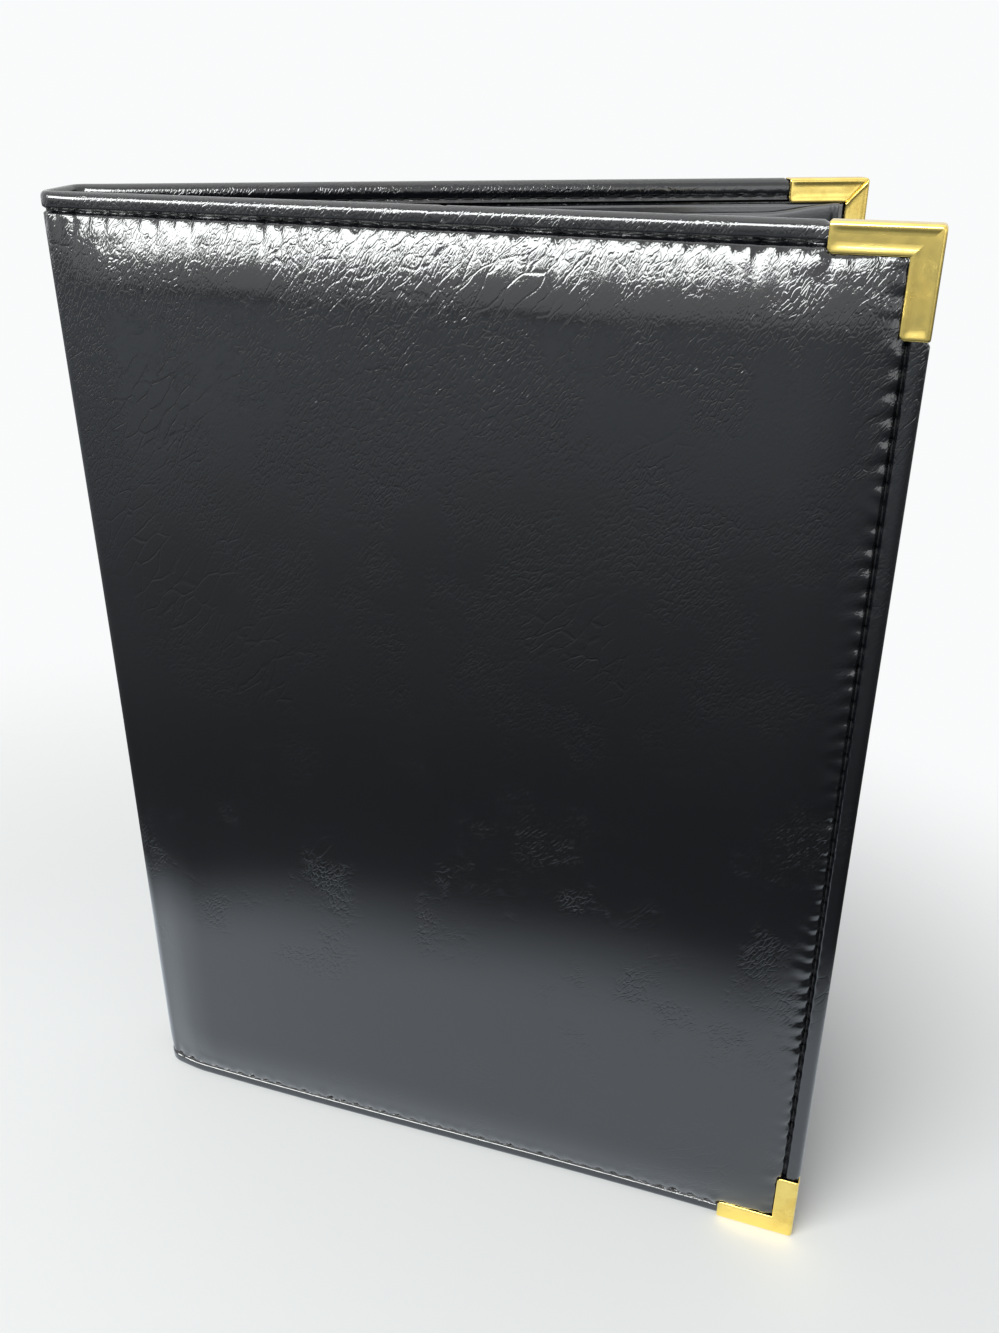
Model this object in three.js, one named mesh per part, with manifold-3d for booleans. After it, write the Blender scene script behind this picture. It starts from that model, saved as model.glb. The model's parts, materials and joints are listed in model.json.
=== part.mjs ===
// A leather portfolio with brass corners, standing on its lower edges with its covers part open.
//
// Two padded covers of turned and stitched hide hang on a flexible spine, as a book's covers do.
// Each cover is a stack: hide with a rolled hem, foam, board and lining. Four stamped brass corners
// clasp the free corners, and the inside carries pockets and a pen loop.
//
// Millimetres, +Z up. +X runs from the spine to the fore-edges and the front cover is towards -Y.
// The origin is under the middle of the standing portfolio.

import * as THREE from "three";
import { mergeVertices } from "three/addons/utils/BufferGeometryUtils.js";
import Module from "manifold-3d";

const wasm = await Module();
wasm.setup();

// Driving dimensions of the whole
const coverHeight = 318;
const coverWidth = 239.5; // along the cover, from its fold line to the fore-edge
const spineWidth = 24; // between the two fold lines, over the outer faces
const coverLean = THREE.MathUtils.degToRad(12.5); // how far each cover stands open from closed
const foldRadius = 6; // outer radius of the bend from spine to cover

// Layers, and the clearance between neighbours
const hideThickness = 0.9;
const boardThickness = 1.8;
const liningThickness = 0.7;
const stiffenerThickness = 1;
const pocketThickness = 0.8;
const seatGap = 0.3;
const foldGap = 0.8; // room at the fold for a cover to swing shut

// Rolled hem and its seam, measured inward from a cover's free edge
const rimThickness = 4.2;
const spineRimThickness = 3;
const seamInset = 5;
const seamHalfWidth = 1.5;
const seamDepth = 0.9; // on the outer face
const innerSeamDepth = 0.6;
const hemWidth = 6.6;
const hemStep = 0.3; // over this width the hem thins to a single hide

// The padded swell of a cover's outer face
const padRise = 2.6;
const padRun = 13; // from the seam to the full swell
const foldRun = 16; // the same, from the fold
const padInset = 13; // edge of the foam

// Brass corners
const cornerLeg = 25;
const cornerBand = 7;
const brassThickness = 0.5;
const brassEdgeRadius = 0.7;
const legEndRadius = 1.5;
const mitreSlit = 0.3;
const mitreTipLand = 1;

// Board and lining
const boardInset = hemWidth + hemStep + seatGap;
const boardFoldInset = 11; // from the fold line, so the fold stays supple

// Pockets: insets are from the cover's free edges, and foldInset from the fold line
const pocketInset = 9;
const pocketFoldInset = 21;
const pocketHem = 7; // width of the turned edge along a pocket's mouth
const pocketHemThickness = 0.6;
const pocketGape = 1.6; // how far a mouth stands off in the middle
const gapeRun = 90; // how far down from the mouth the gape reaches
const padPocketDrop = 9.5; // the mouth of the pad pocket, below the cover's top edge
const padPocketShoulder = 2.4; // its rise towards the fore-edge
const shoulderRun = 24;
const documentPocketHeight = 205;
const cardPocketWidth = 104;
const cardPocketHeight = 60;
const cardPocketRaise = 46; // above the document pocket's lower edge
const cardPocketHem = 5;

// Pen loop
const penLoopRadius = 5.9;
const penLoopWall = 0.9;
const penLoopHeight = 22;
const penLoopFoldInset = 15.5;
const penTab = 5.5; // stitched tongue, towards the fold

const hideColour = 0x0c0d0f;
const liningColour = 0x101114;
const materials = {
  hide: new THREE.MeshStandardMaterial({ color: hideColour, roughness: 0.28, metalness: 0 }),
  lining: new THREE.MeshStandardMaterial({ color: liningColour, roughness: 0.42, metalness: 0 }),
  brass: new THREE.MeshStandardMaterial({ color: 0xc9a545, roughness: 0.25, metalness: 1 }),
  board: new THREE.MeshStandardMaterial({ color: 0x8a8378, roughness: 0.9, metalness: 0 }),
  foam: new THREE.MeshStandardMaterial({ color: 0xd8d4c8, roughness: 0.95, metalness: 0 }),
  elastic: new THREE.MeshStandardMaterial({ color: 0x121214, roughness: 0.8, metalness: 0 }),
};

// Levels through a cover, as depths from the face of its rolled rim
const boardDepth = rimThickness - liningThickness - seatGap - boardThickness;
const liningDepth = rimThickness - liningThickness;
const pocketDepth = rimThickness + seatGap;

// Where the bend from spine to cover ends, measured from the fold line along either face
const bendReach = foldRadius * Math.tan((Math.PI / 2 - coverLean) / 2);
const coverStart = bendReach + foldGap;
const liningStart = coverStart + seatGap;

const { smoothstep, lerp } = THREE.MathUtils;

// A value on each side of every step between stations, spread evenly
function spread(from, to, steps) {
  return Array.from({ length: steps + 1 }, (_, i) => lerp(from, to, i / steps));
}

function named(name, geometry, material) {
  const mesh = new THREE.Mesh(geometry, material);
  mesh.name = name;
  return mesh;
}

// A closed mesh from triangles of shared corners; collapsed triangles are dropped.
function closedGeometry(positions) {
  const loose = new THREE.BufferGeometry();
  loose.setAttribute("position", new THREE.Float32BufferAttribute(positions, 3));
  const merged = mergeVertices(loose, 1e-4);
  const old = merged.index.array;
  const kept = [];
  for (let i = 0; i < old.length; i += 3) {
    const [a, b, c] = [old[i], old[i + 1], old[i + 2]];
    if (a !== b && b !== c && c !== a) kept.push(a, b, c);
  }
  merged.setIndex(kept);
  merged.computeVertexNormals();
  return merged;
}

// A thick sheet over a grid of stations. face(a, b) and back(a, b) give its two surfaces as
// points; where they meet along a border, as in a rolled edge, the border needs no wall.
// Seen from the face's side, a runs right and b runs up.
function sheetGeometry(as, bs, face, back) {
  const positions = [];
  const triangle = (...corners) => corners.forEach((p) => positions.push(p.x, p.y, p.z));
  const quad = (p, q, r, s) => {
    triangle(p, q, r);
    triangle(p, r, s);
  };
  const lastA = as.length - 1;
  const lastB = bs.length - 1;
  const faces = as.map((a) => bs.map((b) => face(a, b)));
  const backs = as.map((a) => bs.map((b) => back(a, b)));
  for (let i = 0; i < lastA; i++) {
    for (let j = 0; j < lastB; j++) {
      quad(faces[i][j], faces[i + 1][j], faces[i + 1][j + 1], faces[i][j + 1]);
      quad(backs[i][j], backs[i][j + 1], backs[i + 1][j + 1], backs[i + 1][j]);
    }
  }
  for (let i = 0; i < lastA; i++) {
    quad(backs[i][0], backs[i + 1][0], faces[i + 1][0], faces[i][0]);
    quad(faces[i][lastB], faces[i + 1][lastB], backs[i + 1][lastB], backs[i][lastB]);
  }
  for (let j = 0; j < lastB; j++) {
    quad(faces[0][j], faces[0][j + 1], backs[0][j + 1], backs[0][j]);
    quad(backs[lastA][j], backs[lastA][j + 1], faces[lastA][j + 1], faces[lastA][j]);
  }
  return closedGeometry(positions);
}

// Joining and cutting
function solidOf(geometry) {
  const bare = new THREE.BufferGeometry();
  const source = geometry.index ? geometry.toNonIndexed() : geometry;
  bare.setAttribute("position", source.getAttribute("position").clone());
  const merged = mergeVertices(bare, 1e-4);
  return new wasm.Manifold(
    new wasm.Mesh({
      numProp: 3,
      vertProperties: merged.attributes.position.array,
      triVerts: new Uint32Array(merged.index.array),
    }),
  );
}

function geometryOf(solid) {
  const mesh = solid.getMesh();
  const geometry = new THREE.BufferGeometry();
  geometry.setAttribute("position", new THREE.BufferAttribute(mesh.vertProperties, 3));
  geometry.setIndex(new THREE.BufferAttribute(mesh.triVerts, 1));
  geometry.computeVertexNormals();
  return geometry;
}

function boxBetween(low, high) {
  const size = low.map((v, i) => high[i] - v);
  const middle = low.map((v, i) => (v + high[i]) / 2);
  return new THREE.BoxGeometry(...size).translate(...middle);
}

// Cover profile. A cover lies in its own frame: x from the fold line to the fore-edge, z up, and
// y the depth from the face of the rim inwards, towards the other cover.

// How far a rolled edge of this thickness falls away at a distance s from its outermost line
function roll(s, thickness) {
  const r = thickness / 2;
  return s < r ? r - Math.sqrt(r * r - (r - s) ** 2) : 0;
}

// The groove that the thread pulls into a face
function seamDip(s, depth) {
  const off = Math.abs(s - seamInset) / seamHalfWidth;
  return off < 1 ? (depth * (1 + Math.cos(Math.PI * off))) / 2 : 0;
}

function toEdge(x, z) {
  return Math.min(coverWidth - x, z, coverHeight - z);
}

function swell(x, z) {
  const rise = (off) => smoothstep(off, seamInset, seamInset + padRun);
  const fromFold = smoothstep(x, coverStart, coverStart + foldRun);
  return padRise * rise(coverWidth - x) * rise(Math.min(z, coverHeight - z)) * fromFold;
}

function coverFaceDepth(x, z) {
  const s = toEdge(x, z);
  return roll(s, rimThickness) + seamDip(s, seamDepth) - swell(x, z);
}

function coverBackDepth(x, z) {
  const s = toEdge(x, z);
  if (s > hemWidth + hemStep / 2) return coverFaceDepth(x, z) + hideThickness;
  return rimThickness - roll(s, rimThickness) - seamDip(s, innerSeamDepth);
}

// Stations across a hem, from the free edge inwards to the full swell
const rollStations = [0, 0.08, 0.3, 0.65].map((share) => (share * rimThickness) / 2);
const hemStations = [
  ...rollStations,
  rimThickness / 2,
  seamInset - seamHalfWidth,
  seamInset - seamHalfWidth / 2,
  seamInset,
  seamInset + seamHalfWidth / 2,
  hemWidth,
  hemWidth + hemStep,
];
const swellStations = [0.3, 0.55, 0.8, 1].map((share) => seamInset + padRun * share);
const edgeStations = [...hemStations, ...swellStations];

const coverXs = [
  ...spread(coverStart, coverStart + foldRun, 4),
  coverWidth / 2,
  ...edgeStations.map((s) => coverWidth - s).reverse(),
];
const coverZs = [
  ...edgeStations,
  coverHeight / 2,
  ...edgeStations.map((s) => coverHeight - s).reverse(),
];

// The room that a brass corner takes out of the hide under it: all round the edge the hide is
// pressed back, so that the brass ends flush with the free hide beside it.
function cornerSeat() {
  const reach = cornerLeg + seatGap;
  const band = cornerBand + seatGap;
  const outer = coverWidth + 1;
  const top = coverHeight + 1;
  const deep = rimThickness + 2 * padRise;
  const legAlong = boxBetween(
    [coverWidth - reach, -deep, coverHeight - band],
    [outer, deep, top],
  );
  const legDown = boxBetween(
    [coverWidth - band, -deep, coverHeight - reach],
    [outer, deep, top],
  );
  const pressed = brassThickness + seatGap;
  const kept = boxBetween(
    [coverWidth - reach - 1, 0, coverHeight - reach - 1],
    [coverWidth - pressed, rimThickness, coverHeight - pressed],
  );
  return solidOf(legAlong).add(solidOf(legDown)).subtract(solidOf(kept));
}

function hideGeometry() {
  const sheet = sheetGeometry(
    coverXs,
    coverZs,
    (x, z) => new THREE.Vector3(x, coverFaceDepth(x, z), z),
    (x, z) => new THREE.Vector3(x, coverBackDepth(x, z), z),
  );
  const topSeat = cornerSeat();
  const bottomSeat = topSeat.scale([1, 1, -1]).translate([0, 0, coverHeight]);
  return geometryOf(solidOf(sheet).subtract(topSeat).subtract(bottomSeat));
}

function paddingGeometry() {
  const insets = [padInset, ...swellStations.filter((s) => s > padInset)];
  const start = Math.max(boardFoldInset, coverStart + foldRun / 2);
  const xs = [
    start,
    coverStart + foldRun,
    coverWidth / 2,
    ...insets.map((s) => coverWidth - s).reverse(),
  ];
  const zs = [
    ...insets,
    coverHeight / 2,
    ...insets.map((s) => coverHeight - s).reverse(),
  ];
  const under = boardDepth - seatGap;
  return sheetGeometry(
    xs,
    zs,
    (x, z) => new THREE.Vector3(x, coverBackDepth(x, z) + seatGap, z),
    (x, z) => new THREE.Vector3(x, under, z),
  );
}

function boardGeometry() {
  return boxBetween(
    [boardFoldInset, boardDepth, boardInset],
    [coverWidth - boardInset, boardDepth + boardThickness, coverHeight - boardInset],
  );
}

// The lining lies on the board, and near the fold it drops down beside the board's edge to meet
// the spine's own lining.
function liningGeometry() {
  const low = hideThickness + seatGap;
  const drop = (x) =>
    lerp(low, liningDepth, smoothstep(x, liningStart, boardFoldInset - seatGap));
  const xs = [
    ...spread(liningStart, boardFoldInset - seatGap, 4),
    coverWidth - boardInset,
  ];
  const zs = [boardInset, coverHeight - boardInset];
  return sheetGeometry(
    xs,
    zs,
    (x, z) => new THREE.Vector3(x, drop(x), z),
    (x, z) => new THREE.Vector3(x, drop(x) + liningThickness, z),
  );
}

// A pocket is a sheet stitched round three sides. Its mouth is hemmed and stands off a little.
function pocketGeometry({ from, to, bottom, mouth, depth, gape, hem }) {
  const steps = 12;
  const middle = (from + to) / 2;
  const half = (to - from) / 2;
  const levels = [0, 0.35, 0.65, 0.85];
  const height = (x, share) => lerp(bottom, mouth(x) - hem, share);
  const rows = [...levels, 1, "hem", "mouth"];
  const zOf = (x, row) => {
    if (row === "mouth") return mouth(x);
    if (row === "hem") return mouth(x) - hem + seatGap;
    return height(x, row);
  };
  const standOff = (x, z) => {
    const across = 1 - ((x - middle) / half) ** 2;
    return gape * across * smoothstep(z, mouth(x) - gapeRun, mouth(x));
  };
  const thick = (row) =>
    row === "hem" || row === "mouth" ? pocketThickness + pocketHemThickness : pocketThickness;
  return sheetGeometry(
    spread(from, to, steps),
    rows,
    (x, row) => new THREE.Vector3(x, depth + standOff(x, zOf(x, row)), zOf(x, row)),
    (x, row) =>
      new THREE.Vector3(x, depth + standOff(x, zOf(x, row)) + thick(row), zOf(x, row)),
  );
}

function padPocketGeometry() {
  const to = coverWidth - pocketInset;
  const mouth = (x) =>
    coverHeight - padPocketDrop + padPocketShoulder * smoothstep(x, to - shoulderRun, to);
  return pocketGeometry({
    from: pocketFoldInset,
    to,
    bottom: pocketInset,
    mouth,
    depth: pocketDepth,
    gape: pocketGape,
    hem: pocketHem,
  });
}

function documentPocketGeometry() {
  return pocketGeometry({
    from: pocketFoldInset,
    to: coverWidth - pocketInset,
    bottom: pocketInset,
    mouth: () => pocketInset + documentPocketHeight,
    depth: pocketDepth,
    gape: pocketGape,
    hem: pocketHem,
  });
}

function cardPocketGeometry() {
  const middle = (pocketFoldInset + coverWidth - pocketInset) / 2;
  const bottom = pocketInset + cardPocketRaise;
  return pocketGeometry({
    from: middle - cardPocketWidth / 2,
    to: middle + cardPocketWidth / 2,
    bottom,
    mouth: () => bottom + cardPocketHeight,
    depth: pocketDepth + pocketThickness + seatGap,
    gape: 0,
    hem: cardPocketHem,
  });
}

// A brass corner in its own frame: its tip at the origin, its legs along -x and -z, and y the
// depth as in the cover. It is stamped from sheet: an L on each face, joined by the two walls
// round the edge, with the inner L split on its mitre where the sheet was folded over.
function brassCornerGeometry() {
  const outline = new THREE.Shape();
  outline.moveTo(0, 0);
  outline.lineTo(-cornerLeg, 0);
  outline.lineTo(-cornerLeg, -cornerBand + legEndRadius);
  outline.quadraticCurveTo(
    -cornerLeg,
    -cornerBand,
    -cornerLeg + legEndRadius,
    -cornerBand,
  );
  outline.lineTo(-cornerBand, -cornerBand);
  outline.lineTo(-cornerBand, -cornerLeg + legEndRadius);
  outline.quadraticCurveTo(
    -cornerBand,
    -cornerLeg,
    -cornerBand + legEndRadius,
    -cornerLeg,
  );
  outline.lineTo(0, -cornerLeg);
  outline.closePath();

  const cavity = rimThickness + 2 * seatGap;
  const across = cavity + 2 * brassThickness;
  const body = new THREE.ExtrudeGeometry(outline, {
    depth: across - 2 * brassEdgeRadius,
    bevelEnabled: true,
    bevelThickness: brassEdgeRadius,
    bevelSize: brassEdgeRadius,
    bevelOffset: -brassEdgeRadius,
    bevelSegments: 3,
    curveSegments: 4,
  });
  body.rotateX(Math.PI / 2);
  const faceDepth = -seatGap - brassThickness;
  body.translate(0, faceDepth + across - brassEdgeRadius, 0);

  const hollow = boxBetween(
    [-cornerLeg - 1, -seatGap, -cornerLeg - 1],
    [-brassThickness, -seatGap + cavity, -brassThickness],
  );
  const diagonal = Math.hypot(cornerBand, cornerBand);
  const slit = boxBetween(
    [-diagonal - 1, -seatGap + cavity - brassThickness, -mitreSlit / 2],
    [-mitreTipLand, -seatGap + cavity + 2 * brassThickness, mitreSlit / 2],
  );
  slit.rotateY(-Math.PI / 4);
  return geometryOf(solidOf(body).subtract(solidOf(hollow)).subtract(solidOf(slit)));
}

function brassCorners(cover, side) {
  const geometry = brassCornerGeometry();
  const top = named(`${side}_top_corner`, geometry, materials.brass);
  top.position.set(coverWidth, 0, coverHeight);
  const bottom = named(`${side}_bottom_corner`, geometry, materials.brass);
  bottom.position.set(coverWidth, 0, 0);
  bottom.scale.z = -1;
  cover.add(top, bottom);
}

// A pen loop: a band of elastic round the pen, with a tongue stitched to the lining
function penLoopGeometry() {
  const inner = penLoopRadius - penLoopWall;
  const bottom = -Math.PI / 2;
  const tongueMeets = Math.PI + Math.asin(inner / penLoopRadius);
  const outline = new THREE.Shape();
  outline.moveTo(-penTab, -penLoopRadius);
  outline.absarc(0, 0, penLoopRadius, bottom, tongueMeets, false);
  outline.lineTo(-penTab, -inner);
  outline.closePath();
  const eye = new THREE.Path();
  eye.absarc(0, 0, inner, 0, Math.PI * 2, true);
  outline.holes.push(eye);
  const band = new THREE.ExtrudeGeometry(outline, {
    depth: penLoopHeight,
    bevelEnabled: false,
    curveSegments: 18,
  });
  const centreDepth = pocketDepth + penLoopRadius;
  band.translate(penLoopFoldInset, centreDepth, (coverHeight - penLoopHeight) / 2);
  return closedGeometry(band.getAttribute("position").array);
}

function cover(side) {
  const group = new THREE.Group();
  group.add(
    named(`${side}_cover_hide`, hideGeometry(), materials.hide),
    named(`${side}_cover_padding`, paddingGeometry(), materials.foam),
    named(`${side}_cover_board`, boardGeometry(), materials.board),
    named(`${side}_cover_lining`, liningGeometry(), materials.lining),
  );
  brassCorners(group, side);
  return group;
}

// Spine. A point on it is given by a station along its bent section and a depth inwards. The
// section is a bend, a flat and a bend; stations run from the front cover's end, -1, over the
// flat's ends at -flatShare and flatShare, to the back cover's end at 1.
const flatShare = 0.5;
const flatHalf = spineWidth / 2 - bendReach;
const bendSweep = Math.PI / 2 - coverLean;

function spinePoint(station, depth, z) {
  const side = Math.sign(station);
  const along = Math.abs(station);
  if (along <= flatShare) {
    return new THREE.Vector3(depth, (station / flatShare) * flatHalf, z);
  }
  const turned = ((along - flatShare) / (1 - flatShare)) * bendSweep;
  const radius = foldRadius - depth;
  return new THREE.Vector3(
    foldRadius - radius * Math.cos(turned),
    side * (flatHalf + radius * Math.sin(turned)),
    z,
  );
}

const bendStations = spread(flatShare, 1, 6);
const spineStations = [
  ...bendStations.map((s) => -s).reverse(),
  0,
  ...bendStations,
];

function toEnd(z) {
  return Math.min(z, coverHeight - z);
}

function spineHideGeometry() {
  const rollShare = spineRimThickness / rimThickness;
  const ends = [
    ...rollStations.map((s) => s * rollShare),
    spineRimThickness / 2,
    seamInset - seamHalfWidth,
    seamInset,
    hemWidth,
    hemWidth + hemStep,
  ];
  const zs = [...ends, ...ends.map((s) => coverHeight - s).reverse()];
  const faceDepth = (z) =>
    roll(toEnd(z), spineRimThickness) + seamDip(toEnd(z), innerSeamDepth);
  const backDepth = (z) => {
    if (toEnd(z) > hemWidth + hemStep / 2) return faceDepth(z) + hideThickness;
    return spineRimThickness - roll(toEnd(z), spineRimThickness);
  };
  return sheetGeometry(
    spineStations,
    zs,
    (s, z) => spinePoint(-s, faceDepth(z), z),
    (s, z) => spinePoint(-s, backDepth(z), z),
  );
}

function spineLiningGeometry() {
  const low = hideThickness + seatGap;
  const high = low + stiffenerThickness + seatGap;
  const rise = 1.5 / flatHalf; // share of the flat's half over which the lining climbs
  const depthAt = (s) =>
    lerp(high, low, smoothstep(Math.abs(s), flatShare * (1 - rise), flatShare));
  const climbing = [-flatShare * (1 - rise), flatShare * (1 - rise)];
  const stations = [...spineStations, ...climbing].sort((a, b) => a - b);
  return sheetGeometry(
    stations,
    [boardInset, coverHeight - boardInset],
    (s, z) => spinePoint(-s, depthAt(s), z),
    (s, z) => spinePoint(-s, depthAt(s) + liningThickness, z),
  );
}

function stiffenerGeometry() {
  const half = flatHalf - 1.5 - seatGap;
  const depth = hideThickness + seatGap;
  return boxBetween(
    [depth, -half, boardInset],
    [depth + stiffenerThickness, half, coverHeight - boardInset],
  );
}

const spine = new THREE.Group();
spine.add(
  named("spine_hide", spineHideGeometry(), materials.hide),
  named("spine_stiffener", stiffenerGeometry(), materials.board),
  named("spine_lining", spineLiningGeometry(), materials.lining),
);

const frontCover = cover("front");
frontCover.add(
  named("document_pocket", documentPocketGeometry(), materials.lining),
  named("card_pocket", cardPocketGeometry(), materials.lining),
);
frontCover.position.y = -spineWidth / 2;
frontCover.rotation.z = -coverLean;

const backCover = cover("back");
backCover.add(
  named("pad_pocket", padPocketGeometry(), materials.lining),
  named("pen_loop", penLoopGeometry(), materials.elastic),
);
backCover.position.y = spineWidth / 2;
backCover.rotation.z = coverLean;
backCover.scale.y = -1; // the back cover mirrors the front one

const portfolio = new THREE.Group();
portfolio.add(spine, frontCover, backCover);

// Stand the finished portfolio over the origin.
const extent = new THREE.Box3().setFromObject(portfolio, true);
portfolio.position.x = -(extent.min.x + extent.max.x) / 2;

export default portfolio;
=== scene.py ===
# %% [markdown]
# # A leather portfolio with brass corners
#
# The portfolio stands upright on its lower edges, with its covers open to a narrow V. The solid
# model gives every piece its place. Here each piece gets its surface: padded black hide with a
# stitched, rolled rim, brass corners, leatherette pockets and an elastic pen loop.

# %% The fixed frame
import json
import math

import bpy
import numpy as np
from mathutils import Matrix, Quaternion, Vector


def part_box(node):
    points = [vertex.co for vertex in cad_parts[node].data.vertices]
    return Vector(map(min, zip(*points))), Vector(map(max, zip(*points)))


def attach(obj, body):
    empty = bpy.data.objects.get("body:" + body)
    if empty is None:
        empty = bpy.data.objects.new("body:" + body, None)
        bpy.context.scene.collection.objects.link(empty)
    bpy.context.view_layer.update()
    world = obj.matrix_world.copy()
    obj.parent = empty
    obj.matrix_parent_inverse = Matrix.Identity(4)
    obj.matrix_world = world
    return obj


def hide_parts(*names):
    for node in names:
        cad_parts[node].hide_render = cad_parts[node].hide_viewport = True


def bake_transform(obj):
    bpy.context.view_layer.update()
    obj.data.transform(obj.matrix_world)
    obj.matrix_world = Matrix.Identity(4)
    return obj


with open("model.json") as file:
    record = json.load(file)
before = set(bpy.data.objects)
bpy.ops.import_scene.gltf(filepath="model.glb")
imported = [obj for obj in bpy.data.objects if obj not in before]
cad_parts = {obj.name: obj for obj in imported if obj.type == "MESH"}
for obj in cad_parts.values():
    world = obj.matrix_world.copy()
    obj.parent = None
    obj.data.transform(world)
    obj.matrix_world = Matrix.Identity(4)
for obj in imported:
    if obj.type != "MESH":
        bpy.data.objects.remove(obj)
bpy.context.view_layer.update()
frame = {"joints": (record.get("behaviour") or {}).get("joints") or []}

# %% [markdown]
# ## The camera
#
# A camera is the first thing to make, because every later look is judged through it. Its place,
# turn and lens were worked out from the straight edges of the covers, so a long edge in the
# picture falls where it does in the photograph. The lens is a mild wide angle, which is why the
# upright edges lean in towards the bottom.

# %% The camera
camera_data = bpy.data.cameras.new("camera")
camera_data.lens = 32.52
camera = bpy.data.objects.new("camera", camera_data)
bpy.context.scene.collection.objects.link(camera)
bpy.context.scene.camera = camera

spine_face_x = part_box("spine_hide")[0].x
camera_off_spine = Vector((0.17297, -0.34833, 0.34851))
camera.location = Vector((spine_face_x, 0, 0)) + camera_off_spine
camera_right = Vector((0.992, 0.128, -0.001)).normalized()
camera_back = Vector((0.115, -0.888, 0.446)).normalized()
camera_up = camera_back.cross(camera_right).normalized()
camera_right = camera_up.cross(camera_back)
turn = Matrix((camera_right, camera_up, camera_back)).transposed()
camera.rotation_euler = turn.to_euler()
print("camera at", [round(v, 3) for v in camera.location])

# %% [markdown]
# ## The measures of a cover
#
# Leather goods are cut and stitched flat, and only then folded. So each half of the portfolio is
# modelled flat, from the middle of the spine to the fore-edge, and wrapped round the folds at the
# end. Three numbers place a point on the flat half: how far it lies from the middle of the spine,
# how deep it lies under the outer face, and its height.

# %% Measures, in metres
MM = 0.001
COVER_WIDTH = 239.5 * MM
COVER_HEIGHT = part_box("spine_hide")[1].z
FOLD_RADIUS = 6 * MM
hinge = next(joint for joint in frame["joints"] if joint["name"] == "back_hinge")
fold_x, fold_y = hinge["pos_m"][0], hinge["pos_m"][1]
lean = math.radians(-hinge["range_deg"][0])

BEND_SWEEP = math.pi / 2 - lean
BEND_REACH = FOLD_RADIUS * math.tan(BEND_SWEEP / 2)
SPINE_HALF = fold_y - BEND_REACH
BEND_LENGTH = FOLD_RADIUS * BEND_SWEEP
COVER_AT = SPINE_HALF + BEND_LENGTH
FOLD_LINE = COVER_AT - BEND_REACH
HALF_WIDTH = FOLD_LINE + COVER_WIDTH

RIM = 4.2 * MM
SPINE_RIM = 3 * MM
SEAM = 5 * MM
STITCH = 5.4 * MM
PAD_RISE = 3.3 * MM
HEM = 6.8 * MM
print(f"half of the portfolio laid flat: {HALF_WIDTH:.4f} x {COVER_HEIGHT:.4f} m")

# %% Wrapping a flat half round its fold
FRONT, BACK = -1, 1


def smooth(value, low, high):
    """A soft step from 0 at low to 1 at high."""
    share = np.clip((value - low) / (high - low), 0, 1)
    return share * share * (3 - 2 * share)


def bell(value, width):
    """1 at 0, falling away on both sides within about this width."""
    return np.exp(-((value / width) ** 2))


BOW = 3.8 * MM
BOW_AT = COVER_AT + 12 * MM


def bow(across, height):
    """How far use has bowed a cover outwards: most beside the fold, towards the bottom."""
    beside_fold = smooth(across, 0, BOW_AT) * (1 - smooth(across, BOW_AT, HALF_WIDTH - 26 * MM))
    return BOW * beside_fold * (1 - smooth(height, -40 * MM, 215 * MM))


def wrap(across, depth, height, side):
    """World places of points on a flat half, which is folded towards the front or the back."""
    across, depth, height = np.broadcast_arrays(across, depth, height)
    depth = depth - bow(across, height)
    turned = np.clip((across - SPINE_HALF) / FOLD_RADIUS, 0, BEND_SWEEP)
    radius = FOLD_RADIUS - depth
    x = FOLD_RADIUS - radius * np.cos(turned)
    y = np.minimum(across, SPINE_HALF) + radius * np.sin(turned)
    beyond = np.maximum(across - COVER_AT, 0)
    x = x + beyond * math.cos(lean)
    y = y + beyond * math.sin(lean)
    return np.stack([fold_x + x, side * y, height], axis=-1)


# %% Reading and moving the vertices of a mesh
def places(piece):
    found = np.zeros(len(piece.data.vertices) * 3)
    piece.data.vertices.foreach_get("co", found)
    return found.reshape(-1, 3)


def move_to(piece, new_places):
    piece.data.vertices.foreach_set("co", new_places.ravel())
    piece.data.update()


def lay(piece, x, y, z):
    """Moves the vertices to these coordinates, each a list or one number for all."""
    move_to(piece, np.stack(np.broadcast_arrays(x, y, z), axis=-1))


def laid_grid(name, xs, ys):
    """A grid with a vertex for each pair of the numbers given, and the pair of each vertex."""
    bpy.ops.object.select_all(action="DESELECT")
    bpy.ops.mesh.primitive_grid_add(x_subdivisions=len(xs) - 1, y_subdivisions=len(ys) - 1, size=2)
    grid = bpy.context.object
    grid.name = name
    spots = places(grid)
    column = np.round((spots[:, 0] + 1) / 2 * (len(xs) - 1)).astype(int)
    row = np.round((spots[:, 1] + 1) / 2 * (len(ys) - 1)).astype(int)
    return grid, np.asarray(xs)[column], np.asarray(ys)[row]


def active(piece):
    """Leaves only this piece selected and active."""
    bpy.ops.object.select_all(action="DESELECT")
    piece.select_set(True)
    bpy.context.view_layer.objects.active = piece


def apply_modifiers(piece):
    active(piece)
    for modifier in list(piece.modifiers):
        bpy.ops.object.modifier_apply(modifier=modifier.name)


def face_outwards(piece):
    active(piece)
    bpy.ops.object.mode_set(mode="EDIT")
    bpy.ops.mesh.select_all(action="SELECT")
    bpy.ops.mesh.normals_make_consistent(inside=False)
    bpy.ops.object.mode_set(mode="OBJECT")


def shade_outwards(piece, crease):
    """Turns the faces outwards and shades them smoothly, but for edges sharper than crease."""
    face_outwards(piece)
    bpy.ops.object.shade_smooth_by_angle(angle=math.radians(crease))


def fold(piece, side):
    """Wraps a piece that was laid flat, with X across, Y height and Z depth."""
    spots = places(piece)
    move_to(piece, wrap(spots[:, 0], spots[:, 2], spots[:, 1], side))
    face_outwards(piece)


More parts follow.
